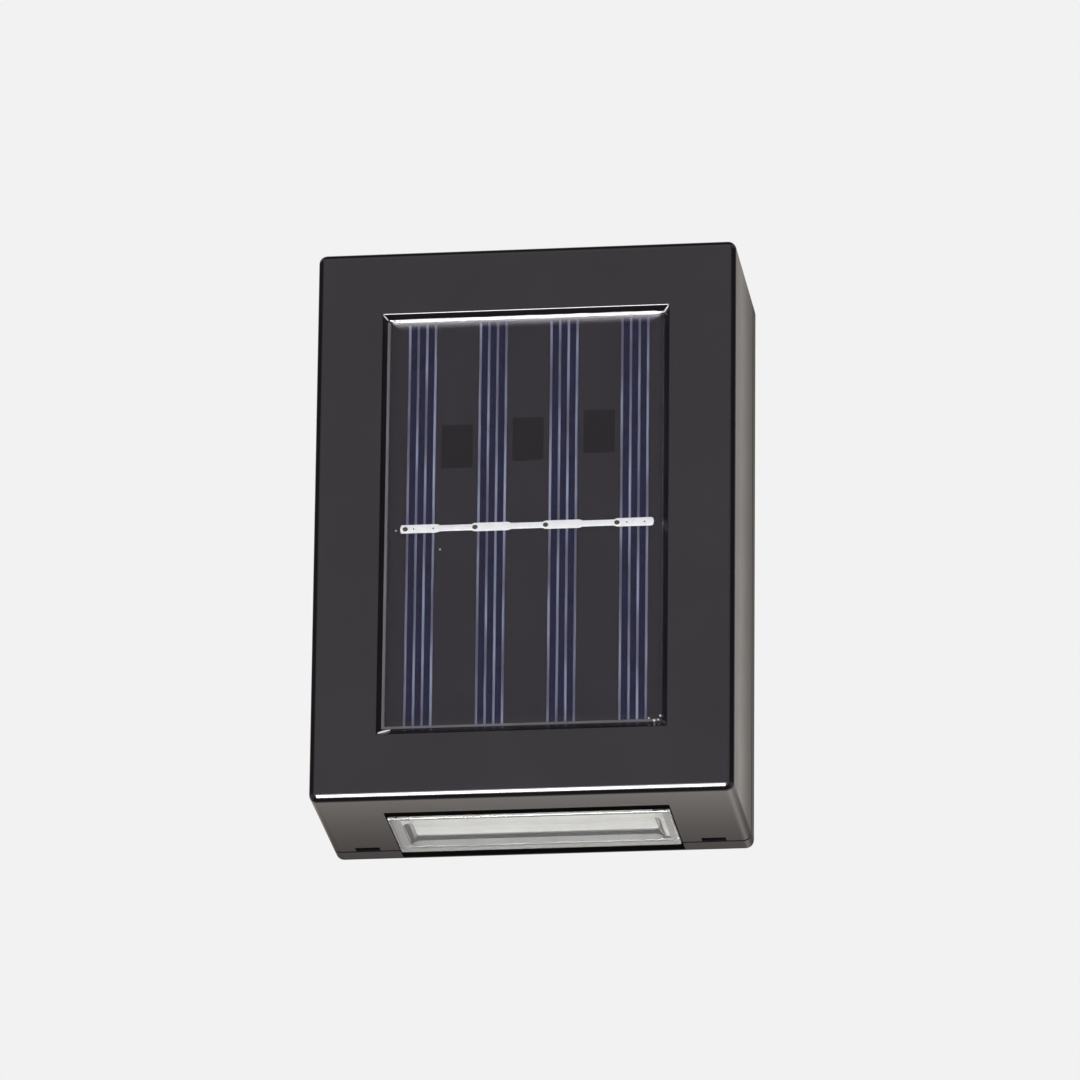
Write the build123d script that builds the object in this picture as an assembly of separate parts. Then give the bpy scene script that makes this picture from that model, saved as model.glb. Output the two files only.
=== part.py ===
from build123d import *
import math
import os

# A solar wall lamp that shines up and down from a flat black box, in millimetres.
# The origin is the middle of the rear face, which lies on the wall at y = 0.
# +Z is up, the front faces -Y, and +X is to the right of someone looking at the front.

# Case
WIDTH = 62.0
HEIGHT = 85.0
DEPTH = 29.0
WALL = 2.0
FRONT_WALL = 2.0
CORNER_R = 1.2
INNER_CORNER_R = 0.6
FRONT_EDGE_R = 1.0
REAR_EDGE_R = 1.1
PLATE_EDGE = 4.6
PLATE_T = 2.4
NOTCH_W = 3.6
NOTCH_D = 1.8
NOTCH_INSET = 5.4
NOTCH_SINK = 3.0
SEAM_GROOVE = 0.25
LIP_T = 1.2
LIP_L = 50.0
LIP_REACH = 2.0

# Clearances: a piece dropped into its place, a piece that slides, a screw in its hole
FIT = 0.15
SLIDE_FIT = 0.1
SCREW_FIT = 0.3
THREAD_FIT = 0.05

# Screws that close the case
BOSS_R = 3.0
BOSS_INSET = 4.6
CASE_SCREW_R = 0.95
CASE_SCREW_L = 10.0
CASE_HEAD_R = 2.1
CASE_HEAD_H = 1.1
HEAD_SINK = 0.2
PILOT_SPARE = 0.8
CROSS_W = 0.55
CROSS_SHARE = 0.62

# Solar panel in its pocket
FRAME_SIDE = 9.75
FRAME_END = 9.85
BEVEL = 0.8
WINDOW_EDGE_R = 0.2
MITRE_R = 0.2
POCKET_DEPTH = 3.6
TRAY_WALL = 1.4
TRAY_FLOOR = 1.4
TAPE_T = 0.3
TAPE_MARGIN = 0.8
SOLAR_BOARD_T = 1.0
STRIP_COUNT = 4
STRIP_SPREAD = 1.027
STRIP_SHIFT = 0.3
STRIP_W = 4.2
STRIP_T = 0.25
STRIP_END_GAP = 0.3
RIBBON_T = 0.15
RIBBON_PAD_L = 5.9
RIBBON_PAD_H = 1.4
RIBBON_LINK_H = 1.0
RIBBON_Z = -0.55
PATCH_GAP = 0.85
PATCH_H = 6.7
PATCH_T = 0.1
PATCH_Z = 13.0
PATCH_RISE = 0.8
RESIN_T = 1.3
MENISCUS_R = 1.4
MENISCUS_RISE = 0.2

# Light windows in the top and the bottom
LENS_MARGIN = 10.3
LENS_SETBACK = 9.0
LENS_PROUD = 0.35
LENS_BORDER = 1.8
LENS_REAR_BORDER = 3.1
LENS_SINK = 1.2
LENS_SLOPE = 40.0
LENS_SINK_CORNER_R = 1.6
LENS_EDGE_R = 0.3
LENS_RIM_R = 0.35
LENS_FLOOR_R = 0.6
FLANGE_T = 1.2
FLANGE_LAP = 1.0
SEAL_FRONT = 2.4
SEAL_SIDE = 0.2
SEAL_SET = 0.15
RING_W = 1.0
RING_T = 0.8
REAR_LAND = 1.3

# Reflectors and the light boards behind them
REFLECTOR_H = 7.0
REFLECTOR_T = 1.0
REFLECTOR_INSET = 0.5
LED_BOARD_D = 9.0
LED_BOARD_T = 1.0
LED_BOARD_INSET = 3.5
LED_W = 3.5
LED_D = 2.8
LED_H = 0.8
LED_INSET = 7.7
LED_WINDOW_GAP = 0.4
STAKE_R = 0.8
STAKE_INSET = 2.2
STAKE_HEAD_R = 1.3
STAKE_HEAD_H = 0.6

# Circuit board
POST_R = 2.4
POST_H = 4.0
BOARD_W = 38.0
BOARD_T = 1.2
BOARD_LOW_GAP = 2.75
BOARD_HIGH_GAP = 5.3
BOARD_HOLE_INSET = 3.0
SMALL_SCREW_R = 0.8
SMALL_SCREW_BITE = 3.0
SMALL_HEAD_R = 1.8
SMALL_HEAD_H = 1.0
CHIP_W = 5.0
CHIP_L = 6.2
CHIP_H = 1.6
CHIP_X = -6.0
CHIP_RISE = 1.0
COIL_R = 3.0
COIL_WAIST_R = 2.0
COIL_H = 4.5
COIL_RIM = 0.8
COIL_X = -12.0
COIL_RISE = -7.0
CAPACITOR_R = 2.5
CAPACITOR_H = 6.0
CAPACITOR_X = 8.0
CAPACITOR_RISE = 8.0

# Rechargeable cell in its holder, lying across the lamp
CELL_R = 5.25
CELL_L = 44.5
SLEEVE_T = 0.25
SLEEVE_LAP = 0.6
NUB_R = 1.9
NUB_L = 0.9
CELL_GAP = 0.3
CELL_LIFT = 0.1
HOLDER_BASE_T = 2.0
HOLDER_WALL = 1.2
HOLDER_RISE = 1.0
HOLDER_LOW_GAP = 5.05
HOLDER_SCREW_X = 12.0
HEAD_RECESS = 1.2
CONTACT_T = 0.4
CONTACT_W = 7.0
CONTACT_TAB = 1.6
LEAF_W = 5.0
LEAF_ROOM = 2.4

# Push switch behind the back plate
SWITCH_X = 12.0
SWITCH_UP = 11.0
SWITCH_W = 8.4
SWITCH_H = 7.8
STEM_W = 3.4
STEM_INSIDE = 2.0
STEM_SOCKET = 2.0
BUTTON_R = 3.5
BUTTON_SET = 0.3
BUTTON_EDGE_R = 0.6
BUTTON_TRAVEL = 1.5
BUTTON_FLANGE = 1.1
BUTTON_FLANGE_T = 0.9
BUTTON_PLAY = 0.3
DISH_R = 6.5
DISH_D = 0.8
REAR_HOLE_EDGE = 0.2
SPRING_R = 1.2
SPRING_WIRE_R = 0.15
SPRING_TURNS = 4
SPRING_SOLID = 2.1

# Keyholes in the back plate
KEYHOLE_X = 17.0
KEYHOLE_Z = 16.0
KEYHOLE_R = 4.0
KEYHOLE_SLOT_W = 4.2
KEYHOLE_RISE = 6.0
HEAD_ROOM = 3.0
POCKET_GAP = 0.6
POCKET_WALL = 1.2

# Wires
WIRE_R = 0.6
WIRE_SPACING = 3.2
BEND_SHARE = 0.45
WIRE_HOLE_W = 6.0
WIRE_HOLE_H = 3.0
PANEL_WIRE_RUN = 8.0
BATTERY_WIRE_X = 9.0
BATTERY_WIRE_UP = 4.0
UPPER_WIRE_DOWN = 5.0
LOWER_WIRE_UP = 2.5
LOWER_WIRE_DROP = 1.25
LOWER_WIRE_END = 2.9

# Places worked out from the sizes above, from the front to the back
FRONT_Y = -DEPTH
FRONT_WALL_IN_Y = FRONT_Y + FRONT_WALL
POCKET_FLOOR_Y = FRONT_Y + POCKET_DEPTH
TRAY_BACK_Y = POCKET_FLOOR_Y + TRAY_FLOOR
SOLAR_BOARD_BACK_Y = POCKET_FLOOR_Y - TAPE_T
SOLAR_BOARD_Y = SOLAR_BOARD_BACK_Y - SOLAR_BOARD_T
STRIP_FACE_Y = SOLAR_BOARD_Y - STRIP_T
RESIN_FACE_Y = SOLAR_BOARD_Y - RESIN_T
POST_TOP_Y = TRAY_BACK_Y + POST_H
BOARD_BACK_Y = POST_TOP_Y + BOARD_T
SWITCH_TOP_Y = BOARD_BACK_Y + SWITCH_H
SEAM_Y = -PLATE_EDGE
PLATE_IN_Y = -PLATE_T
BOSS_END_Y = SEAM_Y - FIT
HEAD_SEAT_Y = -(CASE_HEAD_H + HEAD_SINK)

# Outlines and light windows
CAVITY_W = WIDTH - 2 * WALL
CAVITY_H = HEIGHT - 2 * WALL
POCKET_W = WIDTH - 2 * (FRAME_SIDE + BEVEL)
POCKET_H = HEIGHT - 2 * (FRAME_END + BEVEL)
STRIP_PITCH = STRIP_SPREAD * POCKET_W / STRIP_COUNT
PATCH_W = STRIP_PITCH - STRIP_W - 2 * PATCH_GAP
BOSS_PLACES = [
    (side_x * (WIDTH / 2 - BOSS_INSET), side_z * (HEIGHT / 2 - BOSS_INSET))
    for side_x in (-1, 1)
    for side_z in (-1, 1)
]
FACE_Z = HEIGHT / 2
WALL_IN_Z = FACE_Z - WALL
LENS_W = WIDTH - 2 * LENS_MARGIN
LENS_FRONT_Y = FRONT_Y + LENS_SETBACK
SLOT_W = LENS_W + 2 * SEAL_SIDE
SLOT_FRONT_Y = LENS_FRONT_Y - SEAL_FRONT
FLANGE_Z = WALL_IN_Z - FLANGE_T
REFLECTOR_TOP_Z = FLANGE_Z - REFLECTOR_H
REFLECTOR_FRONT_Y = LENS_FRONT_Y + REFLECTOR_INSET
REFLECTOR_REAR_Y = SEAM_Y - REFLECTOR_INSET
REFLECTOR_L = LENS_W - 2 * REFLECTOR_INSET
LED_Y = (REFLECTOR_FRONT_Y + REFLECTOR_REAR_Y) / 2
LED_BOARD_W = REFLECTOR_L - 2 * LED_BOARD_INSET
LED_BOARD_BACK_Z = REFLECTOR_TOP_Z - LED_BOARD_T
LED_X = LED_BOARD_W / 2 - LED_INSET
STAKE_X = LED_BOARD_W / 2 - STAKE_INSET

# Cell above the lower light board, circuit board between the cell and the upper light board
HOLDER_HALF_H = CELL_R + CELL_GAP + HOLDER_WALL
HOLDER_LOW_Z = HOLDER_LOW_GAP - LED_BOARD_BACK_Z
CELL_Z = HOLDER_LOW_Z + HOLDER_HALF_H
BOARD_LOW_Z = CELL_Z + HOLDER_HALF_H + BOARD_LOW_GAP
BOARD_HIGH_Z = LED_BOARD_BACK_Z - BOARD_HIGH_GAP
BOARD_H = BOARD_HIGH_Z - BOARD_LOW_Z
BOARD_Z = (BOARD_HIGH_Z + BOARD_LOW_Z) / 2
SWITCH_Z = BOARD_LOW_Z + SWITCH_UP
WIRE_HOLE_Z = BOARD_Z
BOARD_HOLES = [
    (side_x * (BOARD_W / 2 - BOARD_HOLE_INSET), BOARD_Z + side_z * (BOARD_H / 2 - BOARD_HOLE_INSET))
    for side_x in (-1, 1)
    for side_z in (-1, 1)
]
HOLDER_HOLES = [(side_x * HOLDER_SCREW_X, CELL_Z) for side_x in (-1, 1)]
HOLDER_TOP_Y = POST_TOP_Y + HOLDER_BASE_T
CELL_Y = HOLDER_TOP_Y + CELL_LIFT + CELL_R
CELL_BACK_Y = CELL_Y + CELL_R
CELL_MINUS_X = -(CELL_L + CONTACT_T - LEAF_ROOM) / 2
CELL_PLUS_X = CELL_MINUS_X + CELL_L
HOLDER_PLUS_X = CELL_PLUS_X + CONTACT_T
HOLDER_MINUS_X = CELL_MINUS_X - LEAF_ROOM
HOLDER_RIM_Y = CELL_Y + HOLDER_RISE
CONTACT_TOP_Y = HOLDER_RIM_Y + CONTACT_TAB
STEM_END_Y = SWITCH_TOP_Y - STEM_INSIDE
STEM_HOLE_Y = STEM_END_Y - BUTTON_TRAVEL - SPRING_SOLID
FLANGE_TOP_Y = PLATE_IN_Y - BUTTON_PLAY
CAP_END_Y = FLANGE_TOP_Y - BUTTON_FLANGE_T
SOCKET_FLOOR_Y = CAP_END_Y + STEM_SOCKET


def across(width, middle=0.0):
    """Low and high ends of a span of this width about its middle."""
    return (middle - width / 2, middle + width / 2)


def block(span_x, span_y, span_z):
    """Box between the low and high ends along each axis, in either order."""
    spans = [sorted(span) for span in (span_x, span_y, span_z)]
    middle = [(low + high) / 2 for low, high in spans]
    size = [high - low for low, high in spans]
    return Pos(*middle) * Box(*size)


def slab(width, height, radius, y_front, y_back):
    """Plate with rounded corners, facing the front."""
    rear = Plane((0, y_back, 0), x_dir=(1, 0, 0), z_dir=(0, -1, 0))
    return extrude(rear * RectangleRounded(width, height, radius), y_back - y_front)


def rod(radius, place, y_front, y_back):
    """Round bar from front to back at an (x, z) place."""
    x, z = place
    middle = Pos(x, (y_front + y_back) / 2, z) * Rot(90, 0, 0)
    return middle * Cylinder(radius, y_back - y_front)


def prism_x(points, length):
    """Outline of (y, z) points carried along X, centred on x = 0."""
    outline = make_face(Polyline(*[(0, y, z) for y, z in points], close=True))
    return extrude(outline, length / 2, dir=(1, 0, 0), both=True)


def screw(place, seat_y, length, shank_r, head_r, head_h):
    """Cross-slotted screw that enters towards the front, its head seated at seat_y."""
    x, z = place
    body = rod(head_r, place, seat_y, seat_y + head_h)
    body += rod(shank_r, place, seat_y - length, seat_y)
    cross = 2 * head_r * CROSS_SHARE
    slot_y = (seat_y + head_h / 2, seat_y + head_h)
    body -= block(across(cross, x), slot_y, across(CROSS_W, z))
    body -= block(across(CROSS_W, x), slot_y, across(cross, z))
    return body


def wire(points):
    """Round wire along straight runs, each bend as wide as its two runs allow."""
    points = [Vector(*point) for point in points]
    radii = []
    for before, corner, after in zip(points, points[1:], points[2:]):
        run_in = corner - before
        run_out = after - corner
        half_turn = math.radians(run_in.get_angle(run_out)) / 2
        shorter = min(run_in.length, run_out.length)
        radii.append(BEND_SHARE * shorter / math.tan(half_turn))
    path = FilletPolyline(*points, radius=radii)
    section = Plane(origin=path @ 0, z_dir=path % 0) * Circle(WIRE_R)
    solid = sweep(section, path=path)
    expected = math.pi * WIRE_R**2 * path.length
    bends = ", ".join(f"{radius:.1f}" for radius in radii)
    print(f"wire: bends {bends} mm, volume {solid.volume / expected:.4f} of section times length")
    return solid


def is_mitre(edge):
    """Whether an edge slants in all three directions, as the corners of the window's bevel do."""
    slant = edge % 0.5
    return min(abs(slant.X), abs(slant.Y), abs(slant.Z)) > 0.1


def make_front_housing():
    """Box open at the back, with a panel pocket, two lens slots, screw bosses and board posts."""
    body = slab(WIDTH, HEIGHT, CORNER_R, FRONT_Y, SEAM_Y)
    body = fillet(body.faces().sort_by(Axis.Y)[0].edges(), FRONT_EDGE_R)
    body = chamfer(body.faces().sort_by(Axis.Y)[-1].edges(), SEAM_GROOVE)
    body -= slab(CAVITY_W, CAVITY_H, INNER_CORNER_R, FRONT_WALL_IN_Y, SEAM_Y)
    tray_y = (FRONT_Y + FRONT_WALL / 2, TRAY_BACK_Y)
    body += block(across(POCKET_W + 2 * TRAY_WALL), tray_y, across(POCKET_H + 2 * TRAY_WALL))
    body -= block(across(POCKET_W), (FRONT_Y, POCKET_FLOOR_Y), across(POCKET_H))
    window = body.faces().sort_by(Axis.Y)[0].inner_wires()[0]
    body = chamfer(window.edges(), BEVEL)
    mitres = [edge for edge in body.edges().filter_by(GeomType.LINE) if is_mitre(edge)]
    body = fillet(mitres, MITRE_R)
    window = body.faces().sort_by(Axis.Y)[0].inner_wires()[0]
    body = fillet(window.edges(), WINDOW_EDGE_R)
    hole_y = (POCKET_FLOOR_Y, TRAY_BACK_Y)
    body -= block(across(WIRE_HOLE_W), hole_y, across(WIRE_HOLE_H, WIRE_HOLE_Z))

    for place in BOSS_PLACES:
        body += rod(BOSS_R, place, FRONT_Y + FRONT_WALL / 2, BOSS_END_Y)
    for place in BOSS_PLACES:
        pilot_end = HEAD_SEAT_Y - CASE_SCREW_L - PILOT_SPARE
        body -= rod(CASE_SCREW_R + THREAD_FIT, place, pilot_end, BOSS_END_Y)
    for place in BOARD_HOLES + HOLDER_HOLES:
        body += rod(POST_R, place, POCKET_FLOOR_Y + TRAY_FLOOR / 2, POST_TOP_Y)
    for place in BOARD_HOLES + HOLDER_HOLES:
        pilot_end = POST_TOP_Y - SMALL_SCREW_BITE - THREAD_FIT
        body -= rod(SMALL_SCREW_R + THREAD_FIT, place, pilot_end, POST_TOP_Y)

    for side in (-1, 1):
        wall_z = (side * WALL_IN_Z, side * FACE_Z)
        body -= block(across(SLOT_W), (SLOT_FRONT_Y, SEAM_Y), wall_z)
    notch_z = (-FACE_Z, NOTCH_SINK - FACE_Z)
    for side in (-1, 1):
        notch_x = side * (WIDTH / 2 - NOTCH_INSET)
        body -= block(across(NOTCH_W, notch_x), (SEAM_Y - NOTCH_D, SEAM_Y), notch_z)
    return body


def keyhole(side):
    """Round entry with a narrower slot above it, through the back plate."""
    x = side * KEYHOLE_X
    top_z = KEYHOLE_Z + KEYHOLE_RISE
    opening = rod(KEYHOLE_R, (x, KEYHOLE_Z), PLATE_IN_Y, 0)
    opening += block(across(KEYHOLE_SLOT_W, x), (PLATE_IN_Y, 0), (KEYHOLE_Z, top_z))
    opening += rod(KEYHOLE_SLOT_W / 2, (x, top_z), PLATE_IN_Y, 0)
    return opening


def keyhole_room(side, wall):
    """Space for a screw's head behind a keyhole, grown by a wall on every closed side."""
    half_w = KEYHOLE_R + POCKET_GAP + wall
    low_z = KEYHOLE_Z - half_w
    high_z = KEYHOLE_Z + KEYHOLE_RISE + half_w
    room_y = (PLATE_IN_Y - HEAD_ROOM - wall, PLATE_IN_Y)
    return block(across(2 * half_w, side * KEYHOLE_X), room_y, (low_z, high_z))


def make_back_plate():
    """Shallow tray that closes the housing, with keyholes, screw seats and the button's hole."""
    plate = slab(WIDTH, HEIGHT, CORNER_R, SEAM_Y, 0)
    plate = fillet(plate.faces().sort_by(Axis.Y)[-1].edges(), REAR_EDGE_R)
    plate = chamfer(plate.faces().sort_by(Axis.Y)[0].edges(), SEAM_GROOVE)
    plate -= slab(CAVITY_W, CAVITY_H, INNER_CORNER_R, SEAM_Y, PLATE_IN_Y)
    for place in BOSS_PLACES:
        plate += rod(BOSS_R, place, SEAM_Y, PLATE_IN_Y + PLATE_T / 2)
    plate -= seal_ring()
    for side in (-1, 1):
        relief_z = (side * (WALL_IN_Z + RING_W), side * FACE_Z)
        plate -= block(across(SLOT_W), (SEAM_Y, -REAR_LAND), relief_z)
        lip_x = (side * (CAVITY_W / 2 - FIT - LIP_T), side * (CAVITY_W / 2 - FIT))
        plate += block(lip_x, (SEAM_Y - LIP_REACH, PLATE_IN_Y + PLATE_T / 2), across(LIP_L))
        plate += keyhole_room(side, POCKET_WALL)
    for side in (-1, 1):
        plate -= keyhole_room(side, 0)
        plate -= keyhole(side)
    for place in BOSS_PLACES:
        plate -= rod(CASE_SCREW_R + SCREW_FIT, place, SEAM_Y, 0)
        plate -= rod(CASE_HEAD_R + SCREW_FIT, place, HEAD_SEAT_Y, 0)
    plate -= rod(BUTTON_R + SLIDE_FIT, (SWITCH_X, SWITCH_Z), PLATE_IN_Y, 0)
    plate -= rod(DISH_R, (SWITCH_X, SWITCH_Z), -DISH_D, 0)
    rear = plate.faces().sort_by(Axis.Y)[-1]
    round_holes = rear.edges().filter_by(lambda edge: edge.is_closed)
    plate = chamfer(round_holes, REAR_HOLE_EDGE)
    return plate


def seal_ring():
    """Plain ring in the step along the inner edge of the plate's rim."""
    span_y = (SEAM_Y, SEAM_Y + RING_T)
    outer = slab(CAVITY_W + 2 * RING_W, CAVITY_H + 2 * RING_W, INNER_CORNER_R + RING_W, *span_y)
    return outer - slab(CAVITY_W, CAVITY_H, INNER_CORNER_R, *span_y)


def make_back_seal():
    """Rubber ring at the seam, with a wide tongue behind each light window."""
    seal = seal_ring()
    for side in (-1, 1):
        tongue_z = (side * (WALL_IN_Z + RING_W), side * (FACE_Z - SEAL_SET))
        seal += block(across(SLOT_W), (SEAM_Y, -REAR_LAND), tongue_z)
    return seal


def make_housing_screws():
    """Four screws through the back plate into the housing's bosses."""
    return [
        screw(place, HEAD_SEAT_Y, CASE_SCREW_L, CASE_SCREW_R, CASE_HEAD_R, CASE_HEAD_H)
        for place in BOSS_PLACES
    ]


def strip_x(index):
    """Middle of a silicon strip, counted from the left."""
    return STRIP_SHIFT + (index - (STRIP_COUNT - 1) / 2) * STRIP_PITCH


def make_solar_board():
    """Dark board that carries the silicon strips."""
    span_y = (SOLAR_BOARD_Y, SOLAR_BOARD_BACK_Y)
    return block(across(POCKET_W - 2 * FIT), span_y, across(POCKET_H - 2 * FIT))


def make_panel_tape():
    """Double-sided tape between the board and the pocket's floor, open for the wires."""
    inset = 2 * (FIT + TAPE_MARGIN)
    span_y = (SOLAR_BOARD_BACK_Y, POCKET_FLOOR_Y)
    tape = block(across(POCKET_W - inset), span_y, across(POCKET_H - inset))
    return tape - block(across(WIRE_HOLE_W), span_y, across(WIRE_HOLE_H, WIRE_HOLE_Z))


def make_solar_strip(index):
    """One strip of silicon."""
    length = POCKET_H - 2 * (FIT + STRIP_END_GAP)
    return block(across(STRIP_W, strip_x(index)), (STRIP_FACE_Y, SOLAR_BOARD_Y), across(length))


def make_strip_ribbon():
    """Tinned ribbon over all the strips, wider where it is soldered to each."""
    span_y = (STRIP_FACE_Y - RIBBON_T, STRIP_FACE_Y)
    ends_x = (strip_x(0), strip_x(STRIP_COUNT - 1))
    ribbon = block(ends_x, span_y, across(RIBBON_LINK_H, RIBBON_Z))
    for index in range(STRIP_COUNT):
        ribbon += block(across(RIBBON_PAD_L, strip_x(index)), span_y, across(RIBBON_PAD_H, RIBBON_Z))
    return ribbon


def make_insulating_patches():
    """Dark patches on the board between the strips, each set a little higher than the last."""
    span_y = (SOLAR_BOARD_Y - PATCH_T, SOLAR_BOARD_Y)
    patches = []
    for index in range(STRIP_COUNT - 1):
        middle_x = (strip_x(index) + strip_x(index + 1)) / 2
        middle_z = PATCH_Z + (index - (STRIP_COUNT - 2) / 2) * PATCH_RISE
        patches.append(block(across(PATCH_W, middle_x), span_y, across(PATCH_H, middle_z)))
    return patches


def make_panel_resin(buried):
    """Clear resin poured over the strips, drawn up along the pocket's walls."""
    top_y = RESIN_FACE_Y - MENISCUS_RISE
    resin = block(across(POCKET_W), (top_y, SOLAR_BOARD_Y), across(POCKET_H))
    beyond = MENISCUS_R - math.sqrt(MENISCUS_R**2 - (MENISCUS_R - MENISCUS_RISE) ** 2)
    hollow_y = (RESIN_FACE_Y - 2 * MENISCUS_R, RESIN_FACE_Y)
    hollow = block(across(POCKET_W + 2 * beyond), hollow_y, across(POCKET_H + 2 * beyond))
    hollow = fillet(hollow.faces().sort_by(Axis.Y)[-1].edges(), MENISCUS_R)
    resin -= hollow
    for piece in buried:
        resin -= piece
    return resin


def make_lens(side):
    """Clear window in the top (side 1) or bottom (side -1), with a flange inside the case."""
    outer_z = side * (FACE_Z + LENS_PROUD)
    lens = block(across(LENS_W), (LENS_FRONT_Y, SEAM_Y), (side * WALL_IN_Z, outer_z))
    outer_face = lens.faces().sort_by(Axis.Z)[-1 if side > 0 else 0]
    lens = fillet(outer_face.edges(), LENS_EDGE_R)
    sink_front_y = LENS_FRONT_Y + LENS_BORDER
    sink_rear_y = SEAM_Y - LENS_REAR_BORDER
    sink = RectangleRounded(LENS_W - 2 * LENS_BORDER, sink_rear_y - sink_front_y, LENS_SINK_CORNER_R)
    sink = Pos(0, (sink_front_y + sink_rear_y) / 2, outer_z) * sink
    sink = extrude(sink, LENS_SINK, dir=(0, 0, -side), taper=LENS_SLOPE)
    floor = sink.faces().sort_by(Axis.Z)[0 if side > 0 else -1]
    lens -= fillet(floor.edges(), LENS_FLOOR_R)
    rim = lens.faces().sort_by(Axis.Z)[-1 if side > 0 else 0].inner_wires()[0]
    lens = fillet(rim.edges(), LENS_RIM_R)
    flange_w = SLOT_W + 2 * FLANGE_LAP
    flange_y = (SLOT_FRONT_Y - FLANGE_LAP, SEAM_Y)
    lens += block(across(flange_w), flange_y, (side * WALL_IN_Z, side * FLANGE_Z))
    return lens


def make_lens_seal(side):
    """Rubber strip round the front and the ends of a lens, in the housing's slot."""
    span_z = (side * WALL_IN_Z, side * (FACE_Z - SEAL_SET))
    seal = block(across(SLOT_W), (SLOT_FRONT_Y, SEAM_Y), span_z)
    return seal - block(across(LENS_W), (LENS_FRONT_Y, SEAM_Y), span_z)


def make_reflector(side):
    """White trough that opens onto the lens, with windows for the lights and stakes for their board."""
    base_z = side * FLANGE_Z
    roof_z = side * REFLECTOR_TOP_Z
    inner_roof_z = side * (REFLECTOR_TOP_Z + REFLECTOR_T)
    roof_front = LED_Y - LED_BOARD_D / 2
    roof_rear = LED_Y + LED_BOARD_D / 2
    outer = [
        (REFLECTOR_FRONT_Y, base_z),
        (REFLECTOR_REAR_Y, base_z),
        (roof_rear, roof_z),
        (roof_front, roof_z),
    ]
    inner = [
        (REFLECTOR_FRONT_Y + REFLECTOR_T, base_z),
        (REFLECTOR_REAR_Y - REFLECTOR_T, base_z),
        (roof_rear - REFLECTOR_T, inner_roof_z),
        (roof_front + REFLECTOR_T, inner_roof_z),
    ]
    trough = prism_x(outer, REFLECTOR_L) - prism_x(inner, REFLECTOR_L - 2 * REFLECTOR_T)
    window_w = LED_W + 2 * LED_WINDOW_GAP
    window_d = LED_D + 2 * LED_WINDOW_GAP
    for end in (-1, 1):
        trough -= block(across(window_w, end * LED_X), across(window_d, LED_Y), (roof_z, inner_roof_z))
        trough += stake(end * STAKE_X, side)
    return trough


def stake(x, side):
    """Post through the light board, melted over into a head."""
    head_z = LED_BOARD_BACK_Z - STAKE_HEAD_H
    post_h = REFLECTOR_T / 2 + LED_BOARD_T
    post_z = REFLECTOR_TOP_Z + REFLECTOR_T / 2 - post_h / 2
    post = Pos(x, LED_Y, side * post_z) * Cylinder(STAKE_R, post_h)
    head = Pos(x, LED_Y, side * (head_z + STAKE_HEAD_H / 2)) * Cylinder(STAKE_HEAD_R, STAKE_HEAD_H)
    return post + head


def make_led_board(side):
    """Light board on the reflector's roof, held by the two stakes."""
    span_z = (side * LED_BOARD_BACK_Z, side * REFLECTOR_TOP_Z)
    board = block(across(LED_BOARD_W), across(LED_BOARD_D, LED_Y), span_z)
    middle_z = side * (LED_BOARD_BACK_Z + REFLECTOR_TOP_Z) / 2
    for end in (-1, 1):
        board -= Pos(end * STAKE_X, LED_Y, middle_z) * Cylinder(STAKE_R + SLIDE_FIT, LED_BOARD_T)
    return board


def make_leds(side):
    """The lights on one board, each in its window of the reflector's roof."""
    span_z = (side * REFLECTOR_TOP_Z, side * (REFLECTOR_TOP_Z + LED_H))
    return [block(across(LED_W, end * LED_X), across(LED_D, LED_Y), span_z) for end in (-1, 1)]


def make_main_board():
    """Circuit board on the four posts behind the panel's tray."""
    board = block(across(BOARD_W), (POST_TOP_Y, BOARD_BACK_Y), across(BOARD_H, BOARD_Z))
    for place in BOARD_HOLES:
        board -= rod(SMALL_SCREW_R + SCREW_FIT, place, POST_TOP_Y, BOARD_BACK_Y)
    return board


def make_board_screws():
    """Four screws that hold the circuit board."""
    length = BOARD_T + SMALL_SCREW_BITE
    return [
        screw(place, BOARD_BACK_Y, length, SMALL_SCREW_R, SMALL_HEAD_R, SMALL_HEAD_H)
        for place in BOARD_HOLES
    ]


def make_controller_chip():
    """Charge and light controller, soldered flat on the board."""
    span_y = (BOARD_BACK_Y, BOARD_BACK_Y + CHIP_H)
    return block(across(CHIP_W, CHIP_X), span_y, across(CHIP_L, BOARD_Z + CHIP_RISE))


def make_boost_inductor():
    """Drum-shaped coil that raises the cell's voltage for the lights."""
    place = (COIL_X, BOARD_Z + COIL_RISE)
    top_y = BOARD_BACK_Y + COIL_H
    drum = rod(COIL_WAIST_R, place, BOARD_BACK_Y, top_y)
    drum += rod(COIL_R, place, BOARD_BACK_Y, BOARD_BACK_Y + COIL_RIM)
    drum += rod(COIL_R, place, top_y - COIL_RIM, top_y)
    return drum


def make_storage_capacitor():
    """Upright can on the board."""
    place = (CAPACITOR_X, BOARD_Z + CAPACITOR_RISE)
    return rod(CAPACITOR_R, place, BOARD_BACK_Y, BOARD_BACK_Y + CAPACITOR_H)


def bar_x(radius, x_low, x_high):
    """Round bar along the cell's axis."""
    middle = Pos((x_low + x_high) / 2, CELL_Y, CELL_Z) * Rot(0, 90, 0)
    return middle * Cylinder(radius, x_high - x_low)


def make_battery_cell():
    """Steel can of the cell with the nub of its positive end."""
    can_r = CELL_R - SLEEVE_T
    shoulder_x = CELL_PLUS_X - NUB_L
    can = bar_x(can_r, CELL_MINUS_X, shoulder_x)
    return can + bar_x(NUB_R, shoulder_x, CELL_PLUS_X)


def make_battery_sleeve():
    """Shrunk film round the cell, short of its two ends."""
    ends = (CELL_MINUS_X + SLEEVE_LAP, CELL_PLUS_X - NUB_L - SLEEVE_LAP)
    return bar_x(CELL_R, *ends) - bar_x(CELL_R - SLEEVE_T, *ends)


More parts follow.
